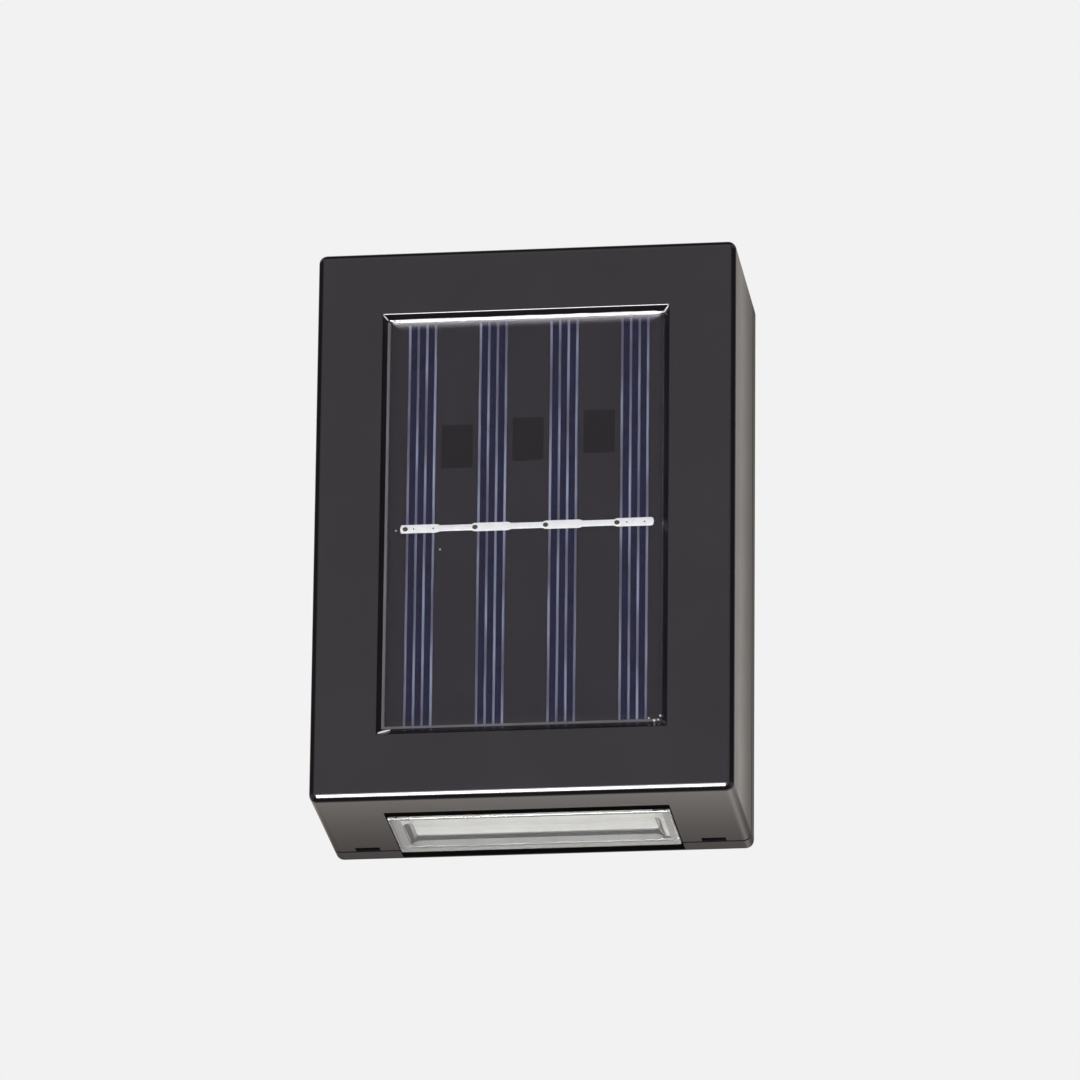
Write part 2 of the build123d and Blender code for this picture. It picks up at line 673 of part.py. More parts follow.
def make_battery_holder():
    """Open tray for the cell, screwed to two posts of the housing."""
    inner_h = 2 * (CELL_R + CELL_GAP)
    ends_x = (HOLDER_MINUS_X - HOLDER_WALL, HOLDER_PLUS_X + HOLDER_WALL)
    holder = block(ends_x, (POST_TOP_Y, HOLDER_RIM_Y), across(2 * HOLDER_HALF_H, CELL_Z))
    inner_x = (HOLDER_MINUS_X, HOLDER_PLUS_X)
    holder -= block(inner_x, (HOLDER_TOP_Y, HOLDER_RIM_Y), across(inner_h, CELL_Z))
    for place in HOLDER_HOLES:
        holder -= rod(SMALL_SCREW_R + SCREW_FIT, place, POST_TOP_Y, HOLDER_TOP_Y)
        holder -= rod(SMALL_HEAD_R + SCREW_FIT, place, HOLDER_TOP_Y - HEAD_RECESS, HOLDER_TOP_Y)
    return holder


def make_holder_screws():
    """Two screws under the cell, their heads sunk in the holder's base."""
    seat_y = HOLDER_TOP_Y - HEAD_RECESS
    length = HOLDER_BASE_T - HEAD_RECESS + SMALL_SCREW_BITE
    return [
        screw(place, seat_y, length, SMALL_SCREW_R, SMALL_HEAD_R, SMALL_HEAD_H)
        for place in HOLDER_HOLES
    ]


def make_contact_plus():
    """Flat contact plate at the cell's nub, with a tab above the holder's rim."""
    span_x = (HOLDER_PLUS_X - CONTACT_T, HOLDER_PLUS_X)
    return block(span_x, (HOLDER_TOP_Y, CONTACT_TOP_Y), across(CONTACT_W, CELL_Z))


def make_contact_minus():
    """Contact plate with a slanted leaf that presses on the cell's flat end."""
    plate_x = HOLDER_MINUS_X + CONTACT_T
    plate = block((HOLDER_MINUS_X, plate_x), (HOLDER_TOP_Y, CONTACT_TOP_Y), across(CONTACT_W, CELL_Z))
    root_y = HOLDER_TOP_Y + CONTACT_T
    leaf_points = [
        (HOLDER_MINUS_X, root_y, CELL_Z),
        (HOLDER_MINUS_X, root_y + 2 * CONTACT_T, CELL_Z),
        (CELL_MINUS_X, CELL_Y + CONTACT_T, CELL_Z),
        (CELL_MINUS_X, CELL_Y - CONTACT_T, CELL_Z),
    ]
    leaf = make_face(Polyline(*leaf_points, close=True))
    return plate + extrude(leaf, LEAF_W / 2, dir=(0, 0, 1), both=True)


def make_switch_body():
    """Push switch on the circuit board, open at its top for the stem."""
    span_x = across(SWITCH_W, SWITCH_X)
    body = block(span_x, (BOARD_BACK_Y, SWITCH_TOP_Y), across(SWITCH_W, SWITCH_Z))
    hole_w = STEM_W + 2 * SLIDE_FIT
    return body - block(across(hole_w, SWITCH_X), (STEM_HOLE_Y, SWITCH_TOP_Y), across(hole_w, SWITCH_Z))


def make_switch_stem():
    """Square stem between the switch and the button."""
    return block(across(STEM_W, SWITCH_X), (STEM_END_Y, SOCKET_FLOOR_Y), across(STEM_W, SWITCH_Z))


def make_button_cap():
    """Round button in the back plate, kept in by a flange."""
    place = (SWITCH_X, SWITCH_Z)
    cap = rod(BUTTON_R, place, CAP_END_Y, -BUTTON_SET)
    cap = fillet(cap.faces().sort_by(Axis.Y)[-1].edges(), BUTTON_EDGE_R)
    cap += rod(BUTTON_R + BUTTON_FLANGE, place, CAP_END_Y, FLANGE_TOP_Y)
    return cap - block(across(STEM_W, SWITCH_X), (CAP_END_Y, SOCKET_FLOOR_Y), across(STEM_W, SWITCH_Z))


def make_switch_spring():
    """Coil spring between the bottom of the switch's hole and the end of the stem."""
    low_y = STEM_HOLE_Y + SPRING_WIRE_R + SLIDE_FIT
    high_y = STEM_END_Y - SPRING_WIRE_R - SLIDE_FIT
    height = high_y - low_y
    path = Helix(height / SPRING_TURNS, height, SPRING_R, (SWITCH_X, low_y, SWITCH_Z), (0, 1, 0))
    section = Plane(origin=path @ 0, z_dir=path % 0) * Circle(SPRING_WIRE_R)
    return sweep(section, path=path, is_frenet=True)


def make_panel_wire(side):
    """Lead from the back of the solar board through the tray to the front of the circuit board."""
    x = side * WIRE_SPACING / 2
    run_y = (TRAY_BACK_Y + POST_TOP_Y) / 2
    landing_z = WIRE_HOLE_Z + PANEL_WIRE_RUN
    return wire([
        (x, SOLAR_BOARD_BACK_Y, WIRE_HOLE_Z),
        (x, run_y, WIRE_HOLE_Z),
        (x, run_y, landing_z),
        (x, POST_TOP_Y, landing_z),
    ])


def make_battery_wire(side):
    """Lead from a contact's tab, beside the cell and down to the circuit board."""
    contact_x = HOLDER_PLUS_X - CONTACT_T / 2 if side > 0 else HOLDER_MINUS_X + CONTACT_T / 2
    tab_y = CONTACT_TOP_Y - CONTACT_TAB / 2
    landing_z = BOARD_LOW_Z + BATTERY_WIRE_UP
    return wire([
        (contact_x, tab_y, CELL_Z + CONTACT_W / 2),
        (contact_x, tab_y, landing_z),
        (side * BATTERY_WIRE_X, tab_y, landing_z),
        (side * BATTERY_WIRE_X, BOARD_BACK_Y, landing_z),
    ])


def make_upper_led_wire(side):
    """Lead from the circuit board up to the upper light board."""
    x = side * WIRE_SPACING / 2
    landing_z = BOARD_HIGH_Z - UPPER_WIRE_DOWN
    return wire([
        (x, BOARD_BACK_Y, landing_z),
        (x, LED_Y, landing_z),
        (x, LED_Y, LED_BOARD_BACK_Z),
    ])


def make_lower_led_wire(side):
    """Lead from the circuit board over the cell to the lower light board."""
    x = side * WIRE_SPACING / 2
    over_cell_y = (CELL_BACK_Y + PLATE_IN_Y) / 2
    start_z = BOARD_LOW_Z + LOWER_WIRE_UP
    return wire([
        (x, BOARD_BACK_Y, start_z),
        (x, over_cell_y, start_z),
        (x, over_cell_y, HOLDER_LOW_Z - LOWER_WIRE_DROP),
        (x, LED_Y, LOWER_WIRE_END - LED_BOARD_BACK_Z),
        (x, LED_Y, -LED_BOARD_BACK_Z),
    ])


strips = {f"solar_strip_{index + 1}": make_solar_strip(index) for index in range(STRIP_COUNT)}
ribbon = make_strip_ribbon()
patches = make_insulating_patches()

nodes = {
    "front_housing": make_front_housing(),
    "back_plate": make_back_plate(),
    "back_seal": make_back_seal(),
    "housing_screws": make_housing_screws(),
    "panel_tape": make_panel_tape(),
    "solar_board": make_solar_board(),
    **strips,
    "strip_ribbon": ribbon,
    "insulating_patches": patches,
    "panel_resin": make_panel_resin([*strips.values(), ribbon, *patches]),
    "main_board": make_main_board(),
    "board_screws": make_board_screws(),
    "controller_chip": make_controller_chip(),
    "boost_inductor": make_boost_inductor(),
    "storage_capacitor": make_storage_capacitor(),
    "battery_holder": make_battery_holder(),
    "holder_screws": make_holder_screws(),
    "battery_cell": make_battery_cell(),
    "battery_sleeve": make_battery_sleeve(),
    "battery_contact_plus": make_contact_plus(),
    "battery_contact_minus": make_contact_minus(),
    "switch_body": make_switch_body(),
    "switch_stem": make_switch_stem(),
    "switch_spring": make_switch_spring(),
    "button_cap": make_button_cap(),
}
for prefix, side in (("lower", -1), ("upper", 1)):
    nodes[f"{prefix}_lens"] = make_lens(side)
    nodes[f"{prefix}_lens_seal"] = make_lens_seal(side)
    nodes[f"{prefix}_reflector"] = make_reflector(side)
    nodes[f"{prefix}_led_board"] = make_led_board(side)
    nodes[f"{prefix}_leds"] = make_leds(side)
for colour, side in (("red", 1), ("black", -1)):
    nodes[f"panel_wire_{colour}"] = make_panel_wire(side)
    nodes[f"battery_wire_{colour}"] = make_battery_wire(side)
    nodes[f"upper_led_wire_{colour}"] = make_upper_led_wire(side)
    nodes[f"lower_led_wire_{colour}"] = make_lower_led_wire(side)

os.makedirs("parts", exist_ok=True)
for name, shape in nodes.items():
    solids = shape if isinstance(shape, list) else [shape]
    export_step(Compound(children=solids), f"parts/{name}.step")
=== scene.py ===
import math

import bpy
import numpy as np
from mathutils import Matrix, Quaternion, Vector


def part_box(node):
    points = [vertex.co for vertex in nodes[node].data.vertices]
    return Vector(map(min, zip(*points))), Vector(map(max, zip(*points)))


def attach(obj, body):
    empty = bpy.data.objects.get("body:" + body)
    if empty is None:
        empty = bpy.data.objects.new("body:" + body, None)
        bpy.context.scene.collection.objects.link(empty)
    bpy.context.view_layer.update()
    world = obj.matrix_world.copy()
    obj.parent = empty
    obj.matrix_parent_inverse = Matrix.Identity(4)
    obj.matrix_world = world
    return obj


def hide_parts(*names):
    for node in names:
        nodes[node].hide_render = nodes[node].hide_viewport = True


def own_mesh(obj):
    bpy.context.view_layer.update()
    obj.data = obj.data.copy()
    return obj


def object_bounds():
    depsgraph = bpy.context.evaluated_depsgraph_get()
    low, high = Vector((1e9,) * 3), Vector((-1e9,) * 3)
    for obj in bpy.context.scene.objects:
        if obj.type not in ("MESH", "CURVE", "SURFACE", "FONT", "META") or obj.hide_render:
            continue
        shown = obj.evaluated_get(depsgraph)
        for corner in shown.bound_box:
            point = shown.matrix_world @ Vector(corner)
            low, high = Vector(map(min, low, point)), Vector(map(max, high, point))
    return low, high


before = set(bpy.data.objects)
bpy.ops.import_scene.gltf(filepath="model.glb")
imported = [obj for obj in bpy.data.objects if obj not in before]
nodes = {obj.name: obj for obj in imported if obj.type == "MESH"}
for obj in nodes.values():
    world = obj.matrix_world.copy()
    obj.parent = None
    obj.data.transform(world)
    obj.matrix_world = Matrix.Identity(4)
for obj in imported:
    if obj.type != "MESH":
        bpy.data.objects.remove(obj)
cad_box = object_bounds()

# Front housing: the open box that everything goes into, one moulding in black plastic.
# Its mould is spark-eroded to a fine satin grain, which spreads every reflection a little, and the
# side walls bow in slightly between the front and the rim, as thin mouldings do when they cool.
MM = 0.001
CASE_BLACK = (0.0082, 0.0066, 0.0087)
CASE_GLOSS = {"Specular IOR Level": 0.85}
WALL_BOW = 0.55 * MM
MIDDLE_Y = (cad_box[0].y + cad_box[1].y) / 2
HALF_DEPTH = (cad_box[1].y - cad_box[0].y) / 2
PLASTIC_IOR = 1.5
GRAIN_DEPTH = 0.002 * MM
CLOUD = 12 * MM
CLOUD_ROUGHNESS = 0.10
PIT_ROUGHNESS = 0.06


class Shade:
    """An output of a shader's nodes, or the bare tree. Arithmetic on it adds Math nodes."""

    def __init__(self, tree, output=None):
        self.tree = tree
        self.output = output

    def node(self, kind, settings, sockets, output=0):
        """Adds a node with its settings, then gives its sockets their values or links."""
        added = self.tree.nodes.new(kind)
        for name, value in settings.items():
            setattr(added, name, value)
        for name, value in sockets.items():
            if isinstance(value, Shade):
                self.tree.links.new(value.output, added.inputs[name])
            else:
                added.inputs[name].default_value = value
        return Shade(self.tree, added.outputs[output])

    def math(self, operation, *values):
        return self.node("ShaderNodeMath", {"operation": operation}, dict(enumerate(values)))

    def __add__(self, other):
        return self.math("ADD", self, other)

    def __sub__(self, other):
        return self.math("SUBTRACT", self, other)

    def __rsub__(self, other):
        return self.math("SUBTRACT", other, self)

    def __mul__(self, other):
        return self.math("MULTIPLY", self, other)

    def __truediv__(self, other):
        return self.math("DIVIDE", self, other)

    def __abs__(self):
        return self.math("ABSOLUTE", self)

    __radd__ = __add__
    __rmul__ = __mul__

    def axis(self, letter):
        """One coordinate of these coordinates."""
        return self.node("ShaderNodeSeparateXYZ", {}, {"Vector": self}, letter)

    def stretched(self, scale):
        """These coordinates scaled along each axis, which draws a noise out where the scale is small."""
        return self.node("ShaderNodeMapping", {}, {"Vector": self, "Scale": scale})

    def rise(self, low, high):
        """Smooth step from 0 at low to 1 at high."""
        settings = {"interpolation_type": "SMOOTHSTEP"}
        return self.node("ShaderNodeMapRange", settings, {"Value": self, "From Min": low, "From Max": high})

    def noise(self, size, detail=2.0):
        """Cloudy noise from 0 to 1 at these coordinates, its clouds about this many metres across."""
        return self.node("ShaderNodeTexNoise", {}, {"Vector": self, "Scale": 1 / size, "Detail": detail})

    def mixed(self, low, high):
        """Colour between low, where this value is 0, and high, where it is 1."""
        low, high = (c if isinstance(c, Shade) else (*c, 1.0) for c in (low, high))
        return self.node("ShaderNodeMix", {"data_type": "RGBA"}, {0: self, 6: low, 7: high}, 2)

    def tones(self, colour, low, high):
        """The colour times low where this value is 0, and times high where it is 1."""
        return self.mixed(*(tuple(part * share for part in colour) for share in (low, high)))

    def bumps(self, depth):
        """Normal of a surface raised by this value times a depth in metres."""
        return self.node("ShaderNodeBump", {}, {"Strength": 1.0, "Distance": depth, "Height": self})

    def feeds(self, shader, socket):
        self.tree.links.new(self.output, shader.inputs[socket])


def finish(name, fixed):
    """Starts a material: a Principled shader with fixed sockets, and its Object coordinates."""
    material = bpy.data.materials.new(name)
    material.use_nodes = True
    shader = material.node_tree.nodes["Principled BSDF"]
    for socket, value in fixed.items():
        shader.inputs[socket].default_value = value
    place = Shade(material.node_tree).node("ShaderNodeTexCoord", {}, {}, "Object")
    return material, shader, place


def moulded(
    name, colour, roughness, grain, depth=GRAIN_DEPTH, cloud=CLOUD, unevenness=0.08, bow=0, **fixed
):
    """Moulded plastic or rubber: a grain of this size and depth, with colour and gloss a little uneven.

    A bow hollows every face that runs from front to back by that much in its middle."""
    material, shader, place = finish(name, {"IOR": PLASTIC_IOR, **fixed})
    clouds = place.noise(cloud, detail=4.0)
    clouds.tones(colour, 1 - unevenness, 1 + unevenness).feeds(shader, "Base Color")
    pits = place.noise(grain, detail=1.0)
    uneven_gloss = CLOUD_ROUGHNESS * (clouds - 0.5) + PIT_ROUGHNESS * (pits - 0.5)
    (roughness + uneven_gloss).feeds(shader, "Roughness")
    from_middle = (place.axis("Y") - MIDDLE_Y) / HALF_DEPTH
    (depth * pits + bow * (from_middle * from_middle)).bumps(1.0).feeds(shader, "Normal")
    return material


def dress(material, *names):
    """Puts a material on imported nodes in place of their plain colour."""
    for name in names:
        nodes[name].data.materials.clear()
        nodes[name].data.materials.append(material)


case_plastic = moulded(
    "case_plastic", CASE_BLACK, roughness=0.16, grain=0.22 * MM, bow=WALL_BOW, **CASE_GLOSS
)
dress(case_plastic, "front_housing")

# Tape and carrier board of the solar panel: white foam tape with glue on both sides holds a
# thin black fibre board in the pocket. The board's lacquer is dull, with a faint weave under it.
FOAM_WHITE = (0.70, 0.70, 0.68)
BOARD_BLACK = (0.0232, 0.0200, 0.0268)
BOARD_CLOUD = 9 * MM
WEAVE = 0.45 * MM
WEAVE_DEPTH = 0.003 * MM
WEAVE_SHARE = 0.3
DULL = {"Specular IOR Level": 0.05}

foam_tape = moulded("foam_tape", FOAM_WHITE, roughness=0.8, grain=0.15 * MM, depth=0.05 * MM)
dress(foam_tape, "panel_tape")

board_black, shader, place = finish("board_black", {"Roughness": 0.6, **DULL})
threads = {"Vector": place, "Scale": 1 / WEAVE}
warp, weft = (place.node("ShaderNodeTexWave", {"bands_direction": way}, threads) for way in "XZ")
weave = warp * weft
shades = (1 - WEAVE_SHARE) * place.noise(BOARD_CLOUD, detail=3.0) + WEAVE_SHARE * weave
shades.tones(BOARD_BLACK, 0.85, 1.15).feeds(shader, "Base Color")
weave.bumps(WEAVE_DEPTH).feeds(shader, "Normal")
dress(board_black, "solar_board")

# Silicon strips: four narrow cells cut from a dark blue wafer, glued to the board. Crystal grains
# vary the blue a little. Each has four printed silver lines along it, worn thinner here and there.
STRIP_NAMES = [f"solar_strip_{number}" for number in range(1, 5)]
SILICON_BLUE = (0.0038, 0.0041, 0.032)
SILICON_ROUGHNESS = 0.25
CRYSTAL = 1.6 * MM
CRYSTAL_ROUGHNESS = 0.15
LINES = 4
LINE_PITCH = 1.28 * MM
LINE_WIDTH = 0.36 * MM
LINE_HEIGHT = 0.05 * MM
LINE_SUNK = 0.2
LINE_AROUND = 10
LINE_DIM = (0.083, 0.083, 0.124)
LINE_BRIGHT = (0.282, 0.316, 0.442)
LINE_PATCH = 1.3 * MM
LINE_STRETCH = (1, 1, 0.1)
LINE_WEAR = (0.35, 0.75)
CREASE = math.radians(35)

silicon, shader, place = finish("silicon", DULL)
grains = place.node("ShaderNodeTexVoronoi", {}, {"Vector": place, "Scale": 1 / CRYSTAL}, "Color")
grains = grains.axis("X")
grains.tones(SILICON_BLUE, 0.85, 1.2).feeds(shader, "Base Color")
(SILICON_ROUGHNESS + CRYSTAL_ROUGHNESS * grains).feeds(shader, "Roughness")
dress(silicon, *STRIP_NAMES)


def add_piece(name, points, faces, material):
    """Makes a piece from its points and faces, smooth up to the crease angle, that rides on the case."""
    mesh = bpy.data.meshes.new(name)
    mesh.from_pydata(points.reshape(-1, 3).tolist(), [], faces)
    mesh.shade_smooth()
    mesh.set_sharp_from_angle(angle=CREASE)
    mesh.materials.append(material)
    piece = bpy.data.objects.new(name, mesh)
    bpy.context.scene.collection.objects.link(piece)
    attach(piece, "case")
    return piece


def tube_faces(rings, around, tubes=1):
    """Quads between neighbouring rings of points, each end closed by one flat face, tube after tube."""
    ring, step = np.meshgrid(np.arange(rings - 1), np.arange(around), indexing="ij")
    following = (step + 1) % around
    faces = []
    for tube in range(tubes):
        start = tube * rings * around
        here = start + ring * around
        there = here + around
        quads = np.stack([here + step, here + following, there + following, there + step], -1)
        first = start + np.arange(around)[::-1]
        last = start + (rings - 1) * around + np.arange(around)
        faces += quads.reshape(-1, 4).tolist() + [first.tolist(), last.tolist()]
    return faces


def line_points(middle_x, strip_low, strip_high):
    """Half-oval bead along z: x = middle + w/2 cos a, y = face - h sin a, cut flat underneath."""
    angle = np.linspace(0, -2 * math.pi, LINE_AROUND, endpoint=False)
    x = middle_x + LINE_WIDTH / 2 * np.cos(angle)
    y = strip_low.y - LINE_HEIGHT * np.sin(angle).clip(-LINE_SUNK, 1)
    return np.array([np.stack([x, y, end_z + 0 * x], -1) for end_z in (strip_low.z, strip_high.z)])


line_silver, shader, place = finish("line_silver", {"Roughness": 0.4})
wear = place.stretched(LINE_STRETCH).noise(LINE_PATCH).rise(*LINE_WEAR)
wear.mixed(LINE_DIM, LINE_BRIGHT).feeds(shader, "Base Color")
lines = []
for name in STRIP_NAMES:
    low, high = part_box(name)
    for line in range(LINES):
        middle = (low.x + high.x) / 2 + (line - (LINES - 1) / 2) * LINE_PITCH
        lines.append(line_points(middle, low, high))
faces = tube_faces(2, LINE_AROUND, len(lines))
add_piece("contact_lines", np.stack(lines), faces, line_silver)

# Ribbon: one tinned copper strip soldered across the four cells, wider over each of them.
# The solder leaves its edges softly rounded and its face bright and a little uneven.
RIBBON_STEPS = 300
RIBBON_AROUND = 16
RIBBON_LEFT_R = 0.06 * MM
RIBBON_RIGHT_R = 0.35 * MM
RIBBON_TIP = 0.05
RIBBON_EASE = 0.45 * MM
CROWN_POWER = 0.25
PAD_HALF_L = 2.95 * MM
PAD_HALF_H = 0.70 * MM
LINK_HALF_H = 0.50 * MM
TIN = (0.95, 0.95, 0.95)
TIN_ROUGHNESS = 0.12
SOLDER_ROUGHNESS = 0.14
SOLDER_LUMP = 0.9 * MM
SOLDER_DEPTH = 0.03 * MM

ribbon_low, ribbon_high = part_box("strip_ribbon")
ribbon_z = (ribbon_low.z + ribbon_high.z) / 2
strip_x = np.array([(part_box(name)[0].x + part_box(name)[1].x) / 2 for name in STRIP_NAMES])


def ribbon_points():
    """Flat oval rings along x: z = middle + h(x) cos a, y = back - t sin(a)^p, with h eased at the pads."""
    x = np.linspace(ribbon_low.x, ribbon_high.x, RIBBON_STEPS)
    from_pad = np.abs(x[:, None] - strip_x).min(1)
    ease = ((PAD_HALF_L - from_pad) / RIBBON_EASE).clip(0, 1)
    ease[(x < strip_x[0]) | (x > strip_x[-1])] = 1
    half_h = LINK_HALF_H + (PAD_HALF_H - LINK_HALF_H) * ease * ease * (3 - 2 * ease)
    from_end = np.minimum((x - ribbon_low.x) / RIBBON_LEFT_R, (ribbon_high.x - x) / RIBBON_RIGHT_R)
    half_h *= np.sqrt(1 - (1 - from_end.clip(RIBBON_TIP, 1)) ** 2)
    angle = np.linspace(0, 2 * math.pi, RIBBON_AROUND, endpoint=False)
    crown = np.sin(angle).clip(0, 1) ** CROWN_POWER
    z = ribbon_z + half_h[:, None] * np.cos(angle)
    y = ribbon_high.y - (ribbon_high.y - ribbon_low.y) * crown + 0 * z
    return np.stack([np.repeat(x[:, None], RIBBON_AROUND, 1), y, z], -1)


tinned_copper, shader, place = finish("tinned_copper", {"Metallic": 1.0, "IOR": 1.6})
solder = place.noise(SOLDER_LUMP, detail=3.0)
solder.tones(TIN, 0.90, 1.05).feeds(shader, "Base Color")
(TIN_ROUGHNESS + SOLDER_ROUGHNESS * solder).feeds(shader, "Roughness")
solder.bumps(SOLDER_DEPTH).feeds(shader, "Normal")
faces = tube_faces(RIBBON_STEPS, RIBBON_AROUND)
ribbon = add_piece("soldered_ribbon", ribbon_points(), faces, tinned_copper)
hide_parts("strip_ribbon")

# Flux marks: a small burnt bead of flux at the left end of each soldered pad, and pinholes in the
# two end pads. Two specks of solder fell on the board. They are what is left of the soldering.
BEAD_RINGS = 9
BEAD_AROUND = 14
BEAD_TIP = 0.06
FLUX_BROWN = (0.022, 0.018, 0.016)
FLUX_OUT = np.array([2.2, 2.4, 2.5, 2.5]) * MM
FLUX_HALF_L = 0.40 * MM
FLUX_HALF_H = 0.35 * MM
FLUX_RISE = 0.04 * MM
PINHOLES_X = np.array([-16.4, -13.5, 15.0, 17.6]) * MM
PINHOLE_R = 0.12 * MM
SOLDER_GREY = (0.80, 0.80, 0.80)
SPECKS = np.array([(-19.1, -0.65), (-12.5, -3.75)]) * MM
SPECK_R = 0.13 * MM


def bead_points(start, end, half_w, half_h):
    """Ellipsoid about an axis a: c + l cos p a + sin p (w cos t u + h sin t v), u across and v out."""
    start, end = np.array(start), np.array(end)
    half = (end - start) / 2
    along = half / np.linalg.norm(half)
    across = np.cross(along, (0, 1, 0))
    across /= np.linalg.norm(across)
    out = np.cross(along, across)
    polar = np.linspace(math.pi - BEAD_TIP, BEAD_TIP, BEAD_RINGS)[:, None, None]
    turn = np.linspace(0, 2 * math.pi, BEAD_AROUND, endpoint=False)[:, None]
    section = half_w * np.cos(turn) * across + half_h * np.sin(turn) * out
    return (start + end) / 2 + np.cos(polar) * half + np.sin(polar) * section


def add_beads(name, beads, material):
    """Makes one piece of several beads, each given as start, end, half width and half height."""
    faces = tube_faces(BEAD_RINGS, BEAD_AROUND, len(beads))
    return add_piece(name, np.stack([bead_points(*bead) for bead in beads]), faces, material)


def round_bead(x, y, z, radius, rise):
    """Start, end, half width and half height of a bead that is round from the front."""
    return (x - radius, y, z), (x + radius, y, z), radius, rise


beads = []
for x in strip_x - FLUX_OUT:
    ends = [(x + out, ribbon_low.y, ribbon_z) for out in (-FLUX_HALF_L, FLUX_HALF_L)]
    beads.append((*ends, FLUX_HALF_H, FLUX_RISE))
beads += [round_bead(x, ribbon_low.y, ribbon_z, PINHOLE_R, FLUX_RISE) for x in PINHOLES_X]
flux_brown = moulded("flux_brown", FLUX_BROWN, roughness=0.3, grain=0.1 * MM)
add_beads("flux_marks", beads, flux_brown)
board_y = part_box("solar_board")[0].y
specks = [round_bead(x, board_y, z, SPECK_R, SPECK_R) for x, z in SPECKS]
solder_dull = moulded("solder_dull", SOLDER_GREY, roughness=0.5, grain=0.1 * MM)
add_beads("solder_specks", specks, solder_dull)

# Insulating patches: three pieces of thin black film on the board, between the cells. They are
# cut from tape and pressed on by hand, and are a deeper black than the board.
PATCH_BLACK = (0.0066, 0.0041, 0.0053)

patch_black = moulded("patch_black", PATCH_BLACK, roughness=0.6, grain=0.2 * MM, **DULL)
dress(patch_black, "insulating_patches")

# Resin: clear epoxy poured over the panel. It set with a flat face and crept up the four walls of
# the pocket and onto the window's bevel in a hollow curve, which catches the light along the edges.
CREEP_RISE = 0.38 * MM
CREEP_REACH = 0.95 * MM
CORNER_POWER = 6
BEVEL_LAP = 0.12 * MM
RIM_GAP = 0.01 * MM
RESIN_SINK = 0.03 * MM
RESIN_SHRINK = 0.05 * MM
RESIN_COLOUR = (0.97, 0.97, 1.0, 1.0)
RESIN_ROUGHNESS = 0.02
RESIN_HAZE = 0.03
HAZE_CLOUD = 7 * MM
WAVE_RISE = 0.003 * MM
WAVE_X = 3.1 * MM
WAVE_Z = 4.3 * MM
WAVE_SLANT = 6 * MM
EDGE_W = 5.0 * MM
EDGE_STEPS = 32
EDGE_POWER = 1.6
MIDDLE_STEPS = 30

resin_low, resin_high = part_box("panel_resin")
rim_x = resin_high.x + BEVEL_LAP - RIM_GAP
rim_z = resin_high.z + BEVEL_LAP - RIM_GAP
resin_face_y = resin_low.y - BEVEL_LAP + CREEP_RISE


def edged(low, high):
    """Values from low to high, close together within the creeping edge at both ends."""
    near = EDGE_W * np.linspace(0, 1, EDGE_STEPS, endpoint=False) ** EDGE_POWER
    middle = np.linspace(low + EDGE_W, high - EDGE_W, MIDDLE_STEPS)
    return np.concatenate([low + near, middle, (high - near)[::-1]])


def creep(distance):
    """Rise of the resin at a distance from its rim: h exp(-d / l)."""
    return CREEP_RISE * np.exp(-distance / CREEP_REACH)


def resin_rise(x, z):
    """Rise above the flat face, from the creeps a and b at the nearest two walls: (a^p + b^p)^(1/p)."""
    from_side, from_end = creep(rim_x - np.abs(x)), creep(rim_z - np.abs(z))
    both = (from_side**CORNER_POWER + from_end**CORNER_POWER) ** (1 / CORNER_POWER)
    return both.clip(0, CREEP_RISE)


x, z = np.meshgrid(edged(-rim_x, rim_x), edged(-rim_z, rim_z), indexing="ij")
rise = resin_rise(x, z)
waves = WAVE_RISE * (np.sin(x / WAVE_X) + np.sin(z / WAVE_Z + x / WAVE_SLANT))
y = resin_face_y - rise + waves * (1 - rise / CREEP_RISE)
top = np.stack([x, y, z], -1).reshape(-1, 3)
index = np.arange(x.size).reshape(x.shape)
quads = np.stack([index[:-1, :-1], index[1:, :-1], index[1:, 1:], index[:-1, 1:]], -1).reshape(-1, 4)
rim = np.concatenate([index[:-1, 0], index[-1, :-1], index[:0:-1, -1], index[0, :0:-1]])
inside = np.array([resin_high.x - RESIN_SHRINK, 0, resin_high.z - RESIN_SHRINK])
shoulder = np.clip(top[rim], -inside, inside)
shoulder[:, 1] = resin_low.y
bottom = shoulder.copy()
bottom[:, 1] = resin_high.y + RESIN_SINK
rings = [rim] + [len(top) + len(rim) * ring + np.arange(len(rim)) for ring in (0, 1)]
faces = quads.tolist()
for upper, lower in zip(rings, rings[1:]):
    faces += np.stack([np.roll(upper, -1), upper, lower, np.roll(lower, -1)], -1).tolist()
faces.append(rings[-1][::-1].tolist())
clear = {"Base Color": RESIN_COLOUR, "Transmission Weight": 1.0, "IOR": PLASTIC_IOR}
clear_resin, shader, place = finish("clear_resin", clear)
(RESIN_ROUGHNESS + RESIN_HAZE * place.noise(HAZE_CLOUD)).feeds(shader, "Roughness")
points = np.concatenate([top, shoulder, bottom])
resin = add_piece("poured_resin", points, faces, clear_resin)
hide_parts("panel_resin")

# Rim line: a thin grey bead on the resin's rim along the left and the bottom edge of the pocket, none along
# the top and the right. Its grey is a painted highlight, standing in for the light caught along these two
# edges.
RIM_LINE_GREY = (0.112, 0.112, 0.117)
RIM_LINE_LEFT_W = 0.38 * MM
RIM_LINE_LOW_W = 0.40 * MM
RIM_LINE_LOW_IN = 0.32 * MM
RIM_LINE_PROUD = 0.025 * MM
RIM_LINE_AROUND = 12


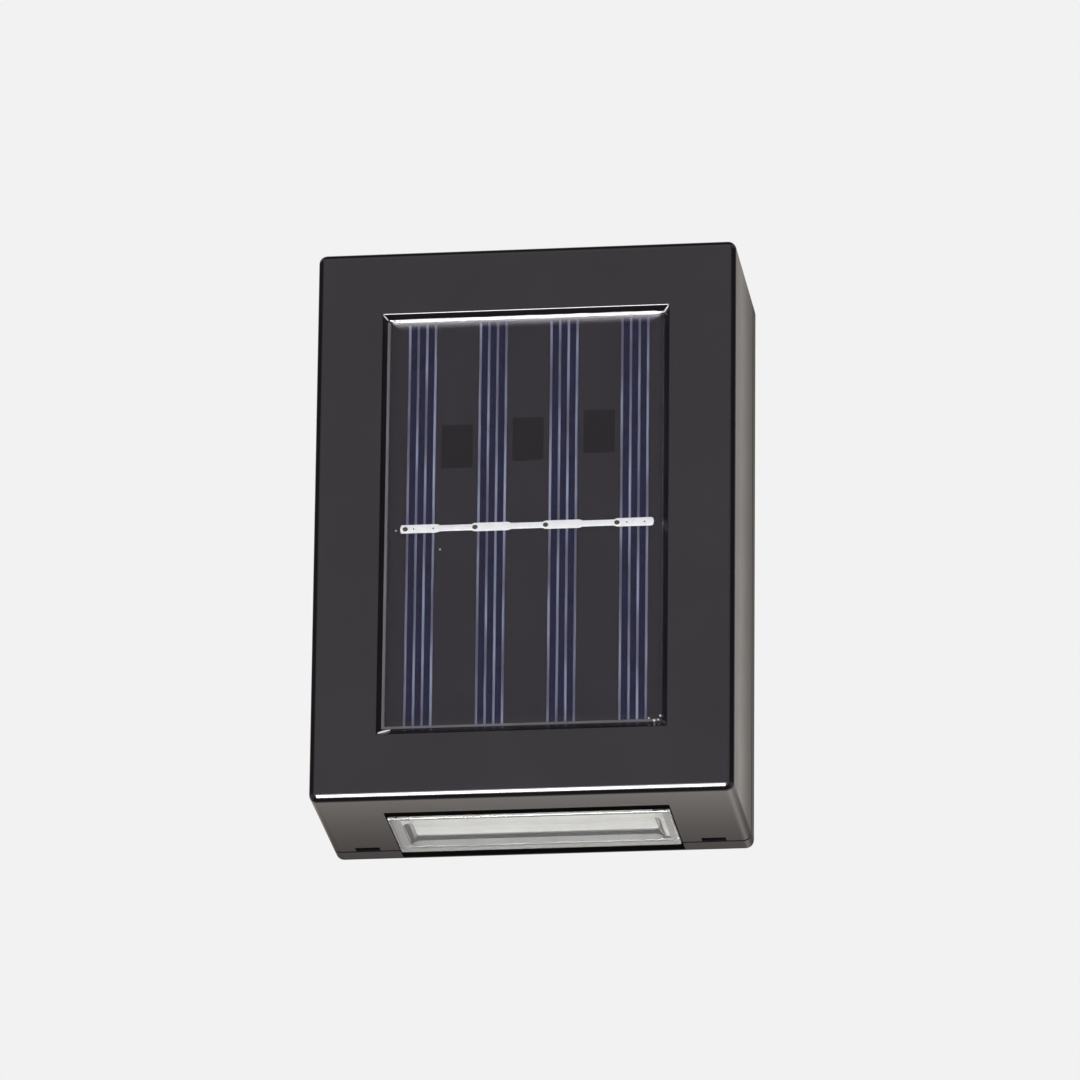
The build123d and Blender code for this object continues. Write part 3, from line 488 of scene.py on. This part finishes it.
def rim_line_points():
    """Oval rings round a corner of the resin's rim: w (1 - cos t) / 2 in, and p (1/2 + sin t) proud."""
    turn = np.linspace(0, -2 * math.pi, RIM_LINE_AROUND, endpoint=False)
    inward = (1 - np.cos(turn)) / 2
    lift = RIM_LINE_PROUD * (0.5 + np.sin(turn))
    y_left = resin_face_y - creep(inward * RIM_LINE_LEFT_W) - lift
    y_low = resin_face_y - creep(RIM_LINE_LOW_IN + inward * RIM_LINE_LOW_W) - lift
    left = inward * RIM_LINE_LEFT_W - rim_x
    low = RIM_LINE_LOW_IN + inward * RIM_LINE_LOW_W - rim_z
    upper_end = (left, y_left, rim_z - RIM_LINE_LEFT_W + 0 * turn)
    corner = (left, np.minimum(y_left, y_low), low)
    right_end = (rim_x - RIM_LINE_LEFT_W + 0 * turn, y_low, low)
    return np.stack([np.stack(station, -1) for station in (upper_end, corner, right_end)])


# Painted highlight: the bead's grey stands in for the light caught along the left and bottom rim.
painted_rim_highlight = moulded(
    "painted_rim_highlight", RIM_LINE_GREY, roughness=0.3, grain=0.4 * MM, cloud=6 * MM, unevenness=0.35
)
add_piece("painted_rim_line", rim_line_points(), tube_faces(3, RIM_LINE_AROUND), painted_rim_highlight)

# Corner glints: pale streaks where the resin ran into the mitres of the bevel, and a few pale round beads
# near two of the corners where air was trapped. Their pale colour is painted highlight, for the light these
# catch. In mm, a streak has its start, end and half width, and a bead has its x, z and radius.
GLINT_PALE = (0.75, 0.75, 0.76)
MITRE_GLINTS = [
    ((-21.2, -28.96, 32.6), (-20.5, -28.3, 31.9), 0.09),
    ((21.15, -28.93, 32.55), (20.3, -28.2, 31.7), 0.12),
    ((20.45, -28.3, 31.8), (19.4, -28.2, 31.65), 0.13),
    ((-21.05, -28.85, -32.4), (-19.2, -28.25, -31.75), 0.15),
]
BUBBLE_GLINTS = [
    (-19.45, 31.8, 0.2),
    (-18.75, 31.75, 0.15),
    (18.5, -31.1, 0.13),
    (19.3, -31.5, 0.2),
    (20.2, -30.8, 0.15),
    (19.9, -31.4, 0.12),
]

beads = []
for start, end, half_w in MITRE_GLINTS:
    beads.append((np.array(start) * MM, np.array(end) * MM, half_w * MM, half_w * MM))
for x, z, radius in np.array(BUBBLE_GLINTS) * MM:
    beads.append(round_bead(x, resin_face_y - resin_rise(x, z), z, radius, radius))
# Painted highlight: these pale beads stand in for glints of light on the resin at the corners.
painted_glints = moulded("painted_glints", GLINT_PALE, roughness=0.15, grain=0.1 * MM)
add_beads("corner_glints", beads, painted_glints)

# Light windows: a clear moulded lens in the bottom and one in the top, each with a sunk middle.
# Black rubber strips fill the slot in front of them and at their ends; their matt, almost pure black
# is partly painted shade of the dark gap there. A film of milky glue round each lens holds it in, and
# one under the ends of the trough behind it shows through the border.
LENS_CLEAR = (1.0, 1.0, 0.99, 1.0)
LENS_THROUGH = 0.92
LENS_ROUGHNESS = 0.04
LENS_HAZE = 0.08
LENS_CLOUD = 3 * MM
FLOW_STRETCH = (0.05, 1, 1)
FLOW_W = 1.2 * MM
FLOW_DEPTH = 0.01 * MM
RUBBER_AND_GAP_SHADE_BLACK = (0.003, 0.003, 0.003)
MATT = {"Specular IOR Level": 0.0}
GLUE_MILKY = (0.48, 0.48, 0.47)
END_SEAL_W = 0.2 * MM
FRONT_SEAL_W = 2.4 * MM
FILM_IN = 0.03 * MM
FILM_T = 0.06 * MM
TROUGH_RIM = 1.0 * MM

clear = {"Base Color": LENS_CLEAR, "Transmission Weight": LENS_THROUGH, "IOR": PLASTIC_IOR}
lens_plastic, shader, place = finish("lens_plastic", clear)
(LENS_ROUGHNESS + LENS_HAZE * place.noise(LENS_CLOUD, detail=3.0)).feeds(shader, "Roughness")
place.stretched(FLOW_STRETCH).noise(FLOW_W).bumps(FLOW_DEPTH).feeds(shader, "Normal")
dress(lens_plastic, "lower_lens", "upper_lens")
# Painted shade in part: this rubber is almost pure black with no gloss, so the strips also stand in for the
# shade in the gap round each lens.
seal_rubber = moulded("seal_rubber", RUBBER_AND_GAP_SHADE_BLACK, roughness=0.85, grain=0.12 * MM, **MATT)
dress(seal_rubber, "lower_lens_seal", "upper_lens_seal")


def slab_points(low, high):
    """Corners of a box as two rings of four, one at its low x and one at its high x."""
    ring = [(low[1], low[2]), (high[1], low[2]), (high[1], high[2]), (low[1], high[2])]
    return np.array([[(x, y, z) for y, z in ring] for x in (low[0], high[0])])


slabs = []
for window in ("lower", "upper"):
    low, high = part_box(f"{window}_lens_seal")
    right = high.x - END_SEAL_W - FILM_IN
    front, rear = low.y + FRONT_SEAL_W + FILM_IN, high.y - FILM_IN
    slabs.append(slab_points((-right, rear - FILM_T, low.z), (right, rear, high.z)))
    slabs.append(slab_points((-right, front, low.z), (right, front + FILM_T, high.z)))
    for x in (-right, right - FILM_T):
        slabs.append(slab_points((x, front + FILM_T, low.z), (x + FILM_T, rear - FILM_T, high.z)))
    trough_low, trough_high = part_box(f"{window}_reflector")
    film_z = trough_low.z - FILM_IN - FILM_T if window == "lower" else trough_high.z + FILM_IN
    film_l = right - trough_high.x + TROUGH_RIM
    for x in (-right, right - film_l):
        slabs.append(slab_points((x, front, film_z), (x + film_l, rear, film_z + FILM_T)))
glue_milky = moulded(
    "glue_milky", GLUE_MILKY, roughness=0.5, grain=0.4 * MM, cloud=5 * MM, unevenness=0.12
)
add_piece("lens_glue", np.stack(slabs), tube_faces(2, 4, len(slabs)), glue_milky)

# Reflectors: white plastic troughs behind the lenses. Each has a small green board on its roof,
# staked on with two melted pins, whose two lights look through windows in the trough.
REFLECTOR_WHITE = (0.96, 0.96, 0.95)
BOARD_GREEN = (0.025, 0.13, 0.05)
TRACK_GRID = 9 * MM
TRACK_SHARE = 0.25
TRACK_DEPTH = 0.03 * MM
SPECKLE = 0.6 * MM
PHOSPHOR = (0.88, 0.74, 0.28)


def printed_board(name, lacquer):
    """Lacquered fibre board: copper tracks show through as straight, slightly lighter bands."""
    material, shader, place = finish(name, {"Roughness": 0.35})
    gaps = place.node("ShaderNodeTexBrick", {}, {"Vector": place, "Scale": 1 / TRACK_GRID}, "Fac")
    speckle = place.noise(SPECKLE, detail=3.0)
    shades = (1 - TRACK_SHARE) * speckle + TRACK_SHARE * (1 - gaps)
    shades.tones(lacquer, 0.8, 1.3).feeds(shader, "Base Color")
    gaps.bumps(TRACK_DEPTH).feeds(shader, "Normal")
    return material


reflector_white = moulded(
    "reflector_white", REFLECTOR_WHITE, roughness=0.35, grain=0.3 * MM, unevenness=0.02
)
dress(reflector_white, "lower_reflector", "upper_reflector")
board_green = printed_board("board_green", BOARD_GREEN)
dress(board_green, "lower_led_board", "upper_led_board")
led_yellow = moulded("led_yellow", PHOSPHOR, roughness=0.4, grain=0.1 * MM)
dress(led_yellow, "lower_leds", "upper_leds")

# Circuit board: the same green board, screwed to four posts behind the panel, with the
# controller, the coil and the capacitor soldered to it.
STEEL_GREY = (0.58, 0.58, 0.57)
CHIP_BLACK = (0.02, 0.02, 0.02)
FERRITE_GREY = (0.055, 0.055, 0.058)
CAN_SILVER = (0.75, 0.75, 0.76)
MARK = 0.25 * MM
MARK_DEPTH = 0.008 * MM
MARK_ROUGHNESS = 0.2


def bare_metal(name, colour, roughness, stretch=(1, 1, 1)):
    """Bare or plated metal: fine marks, drawn out along an axis where stretch is small."""
    material, shader, place = finish(name, {"Metallic": 1.0})
    marks = place.stretched(stretch).noise(MARK, detail=4.0)
    marks.tones(colour, 0.88, 1.08).feeds(shader, "Base Color")
    (roughness + MARK_ROUGHNESS * (marks - 0.5)).feeds(shader, "Roughness")
    marks.bumps(MARK_DEPTH).feeds(shader, "Normal")
    return material


dress(board_green, "main_board")
screw_steel = bare_metal("screw_steel", STEEL_GREY, roughness=0.34)
dress(screw_steel, "board_screws", "holder_screws")
chip_black = moulded("chip_black", CHIP_BLACK, roughness=0.55, grain=0.1 * MM)
dress(chip_black, "controller_chip")
ferrite = moulded("ferrite", FERRITE_GREY, roughness=0.5, grain=0.2 * MM, depth=0.03 * MM)
dress(ferrite, "boost_inductor")
can_silver = bare_metal("can_silver", CAN_SILVER, roughness=0.3, stretch=(1, 0.1, 1))
dress(can_silver, "storage_capacitor")

# Cell: a small rechargeable steel can in a green shrunk film, lying in a black holder. A flat
# contact meets its nub and a slanted leaf presses on its other end.
HOLDER_BLACK = (0.03, 0.03, 0.03)
CELL_GREY = (0.70, 0.70, 0.69)
FILM_GREEN = (0.025, 0.19, 0.075)
NICKEL = (0.74, 0.73, 0.69)

holder_plastic = moulded("holder_plastic", HOLDER_BLACK, roughness=0.45, grain=0.25 * MM)
dress(holder_plastic, "battery_holder")
cell_steel = bare_metal("cell_steel", CELL_GREY, roughness=0.28, stretch=(0.1, 1, 1))
dress(cell_steel, "battery_cell")
cell_film = moulded("cell_film", FILM_GREEN, roughness=0.3, grain=0.8 * MM, depth=0.02 * MM)
dress(cell_film, "battery_sleeve")
contact_steel = bare_metal("contact_steel", NICKEL, roughness=0.25, stretch=(1, 0.15, 1))
dress(contact_steel, "battery_contact_plus", "battery_contact_minus")

# Switch: a push switch on the circuit board. Its white stem carries the soft black button that
# comes out in the dish of the back plate. A coil spring of thin plated wire stands between the
# switch's floor and the stem, shortens as the button is pressed, and pushes both out again.
SWITCH_GREY = (0.08, 0.08, 0.085)
STEM_WHITE = (0.80, 0.80, 0.78)
BUTTON_BLACK = (0.022, 0.022, 0.023)
SPRING_TURNS = 4
SPRING_WIRE_R = 0.15 * MM
SPRING_STEPS = 144
WIRE_AROUND = 10


def spring_points(low, high):
    """Helix about y in a box: c + w (cos t n + sin t b), n out from the axis and b across the wire."""
    middle = np.array((low + high) / 2)
    radius = (high.x - low.x) / 2 - SPRING_WIRE_R
    angle = np.linspace(0, 2 * math.pi * SPRING_TURNS, SPRING_STEPS)[:, None]
    climb = (high.y - low.y - 2 * SPRING_WIRE_R) * angle / angle[-1]
    out = np.concatenate([np.cos(angle), 0 * angle, np.sin(angle)], 1)
    centre = middle + radius * out
    centre[:, 1] = low.y + SPRING_WIRE_R + climb[:, 0]
    along = np.gradient(centre, axis=0)
    across = np.cross(along, out)
    across /= np.linalg.norm(across, axis=1)[:, None]
    turn = np.linspace(0, 2 * math.pi, WIRE_AROUND, endpoint=False)[:, None]
    return centre[:, None] + SPRING_WIRE_R * (np.cos(turn) * out[:, None] + np.sin(turn) * across[:, None])


spring_low, spring_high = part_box("switch_spring")
points = spring_points(spring_low, spring_high)
faces = tube_faces(SPRING_STEPS, WIRE_AROUND)
spring = add_piece("coil_spring", points, faces, contact_steel)
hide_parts("switch_spring")
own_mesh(spring)
switch_plastic = moulded("switch_plastic", SWITCH_GREY, roughness=0.4, grain=0.2 * MM)
dress(switch_plastic, "switch_body")
stem_white = moulded("stem_white", STEM_WHITE, roughness=0.4, grain=0.2 * MM)
dress(stem_white, "switch_stem")
button_rubber = moulded(
    "button_rubber", BUTTON_BLACK, roughness=0.6, grain=0.15 * MM, depth=0.02 * MM
)
dress(button_rubber, "button_cap")

# Wires: thin stranded leads in red and black insulation, soldered at both ends, from the panel,
# the cell and the two light boards to the circuit board.
LEADS = ("panel", "battery", "upper_led", "lower_led")
INSULATION = {"red": (0.50, 0.02, 0.02), "black": (0.02, 0.02, 0.02)}

for name, paint in INSULATION.items():
    insulation = moulded(
        f"wire_{name}", paint, roughness=0.42, grain=0.5 * MM, depth=0.02 * MM, cloud=3 * MM
    )
    dress(insulation, *[f"{lead}_wire_{name}" for lead in LEADS])

# Back plate: a shallow tray in the housing's plastic, with a rubber ring at the seam. Four
# screws from behind close the lamp, and two keyholes hang it on the wall.
dress(case_plastic, "back_plate")
dress(seal_rubber, "back_seal")
dress(screw_steel, "housing_screws")

# Studio: a pale floor far below the lamp, which hangs free, and a pale world. Gloss sees a dimmer
# backdrop behind the lamp, dim walls round it and a bright upright strip in front; a soft box lights it.
# Each pair of levels is the span of a direction's x, y or z over which one of these fades in or out.
PALE = 0.888
AMBIENT = 0.80
ROOM = 0.015
BEHIND = (0.45, 0.85)
BACK_WALL = 0.22
BACK_FALL = 0.12
BACK_FALL_AT = (-0.20, 0.30)
HORIZON_LEAN = 0.5
HORIZON_FADE = (-0.05, 0.45)
BEFORE = (0.60, 0.88)
FRONT_WALL = 0.48
FRONT_GLOW = 7.0
GLOW_X = -0.121
GLOW_SIDE = (0.06, 0.16)
GLOW_TOP = (-0.10, 0.24)
SIDE_WALL = 0.30
BESIDE = (0.55, 0.90)
SIDE_TOP = (0.05, 0.22)
CEILING = 0.30
CEILING_EDGE = (0.40, 0.60)
CEILING_MIDDLE = (0.80, 0.92)
WHITE = (1.0, 1.0, 1.0)
BACK_TINT = (1.0, 0.93, 0.87)
FRONT_TINT = (1.0, 0.94, 1.02)
STRIP_PLACE = (-0.165, -1.06, -0.55)
STRIP_SIZE = (0.24, 1.0)
STRIP_RADIANCE = 20.0
BOX_PLACE = (0.0, -0.96, -0.87)
BOX_SIZE = (2.4, 1.6)
BOX_RADIANCE = 1.25
FLOOR_Z = -1.2
FLOOR_HALF = 6.0
FLOOR_CLOUD = 0.4
FLOOR_DIM = (0.92, 0.92, 0.92)
FLOOR_PALE = (0.95, 0.95, 0.95)

floor_mesh = bpy.data.meshes.new("floor")
corners = [(-FLOOR_HALF, -FLOOR_HALF), (FLOOR_HALF, -FLOOR_HALF)]
corners += [(-x, -y) for x, y in corners]
floor_mesh.from_pydata([(x, y, FLOOR_Z) for x, y in corners], [], [(0, 1, 2, 3)])
floor_pale, shader, place = finish("floor_pale", {"Roughness": 0.9})
place.noise(FLOOR_CLOUD).mixed(FLOOR_DIM, FLOOR_PALE).feeds(shader, "Base Color")
floor_mesh.materials.append(floor_pale)
floor = bpy.data.objects.new("floor", floor_mesh)
bpy.context.scene.collection.objects.link(floor)
floor.visible_glossy = False
floor.visible_transmission = False

world = bpy.data.worlds.new("studio")
world.use_nodes = True
bpy.context.scene.world = world
background = world.node_tree.nodes["Background"]
sky = Shade(world.node_tree)
ray = sky.node("ShaderNodeLightPath", {}, {}).output.node
is_camera, is_glossy, is_through = (
    Shade(world.node_tree, ray.outputs[f"Is {kind} Ray"]) for kind in ("Camera", "Glossy", "Transmission")
)
direction = sky.node("ShaderNodeTexCoord", {}, {}, "Generated")
side, depth, height = (direction.axis(letter) for letter in "XYZ")
behind = depth.rise(*BEHIND)
horizon = 1 - abs(side + HORIZON_LEAN * height).rise(*HORIZON_FADE)
fall = 1 - BACK_FALL * height.rise(*BACK_FALL_AT)
backdrop = behind * ((BACK_WALL + (PALE - BACK_WALL) * horizon) * fall)
glow = (1 - abs(side - GLOW_X).rise(*GLOW_SIDE)) * (1 - height.rise(*GLOW_TOP))
before = (0 - depth).rise(*BEFORE) * (FRONT_WALL + FRONT_GLOW * glow)
beside = SIDE_WALL * abs(side).rise(*BESIDE) * (1 - height.rise(*SIDE_TOP))
above = CEILING * height.rise(*CEILING_EDGE) * (1 - height.rise(*CEILING_MIDDLE))
gloss_level = ROOM + backdrop + before + beside + above
shown = sky.math("MAXIMUM", is_camera, is_through)
level = shown * PALE + (1 - shown) * (is_glossy * gloss_level + (1 - is_glossy) * AMBIENT)
level.feeds(background, "Strength")
tint = ((1 - shown) * is_glossy).mixed(WHITE, behind.mixed(FRONT_TINT, BACK_TINT))
tint.feeds(background, "Color")


def lamp(name, place, size, radiance, in_gloss):
    """Rectangular lamp that faces the part, of this radiance: a card seen in gloss alone, or a light."""
    light = bpy.data.lights.new(name, "AREA")
    light.shape = "RECTANGLE"
    light.size, light.size_y = size
    light.energy = radiance * math.pi * size[0] * size[1]
    holder = bpy.data.objects.new(name, light)
    holder.location = place
    holder.rotation_euler = (-Vector(place)).to_track_quat("-Z", "Y").to_euler()
    holder.visible_camera = False
    holder.visible_glossy = in_gloss
    holder.visible_diffuse = not in_gloss
    holder.visible_transmission = not in_gloss
    bpy.context.scene.collection.objects.link(holder)


lamp("gloss_strip", STRIP_PLACE, STRIP_SIZE, STRIP_RADIANCE, in_gloss=True)
lamp("soft_box", BOX_PLACE, BOX_SIZE, BOX_RADIANCE, in_gloss=False)

# Camera: below the lamp and to its right, as the product shot is taken. It stands far off with a
# long lens, so the box's edges stay almost parallel.
LENS_MM = 319.7
AIM = Vector((2.29, -27.64, -2.99)) * MM
STAND_OFF = 1.4
TURN = math.radians(7.42)
TILT = math.radians(19.72)
ROLL = math.radians(0.63)

forward = Vector((-math.sin(TURN) * math.cos(TILT), math.cos(TURN) * math.cos(TILT), math.sin(TILT)))
camera = bpy.data.objects.new("camera", bpy.data.cameras.new("camera"))
camera.data.lens = LENS_MM
camera.location = AIM - STAND_OFF * forward
camera.rotation_mode = "QUATERNION"
camera.rotation_quaternion = forward.to_track_quat("-Z", "Y") @ Quaternion((0, 0, 1), ROLL)
bpy.context.scene.collection.objects.link(camera)
bpy.context.scene.camera = camera
bpy.context.scene.view_settings.view_transform = "Standard"
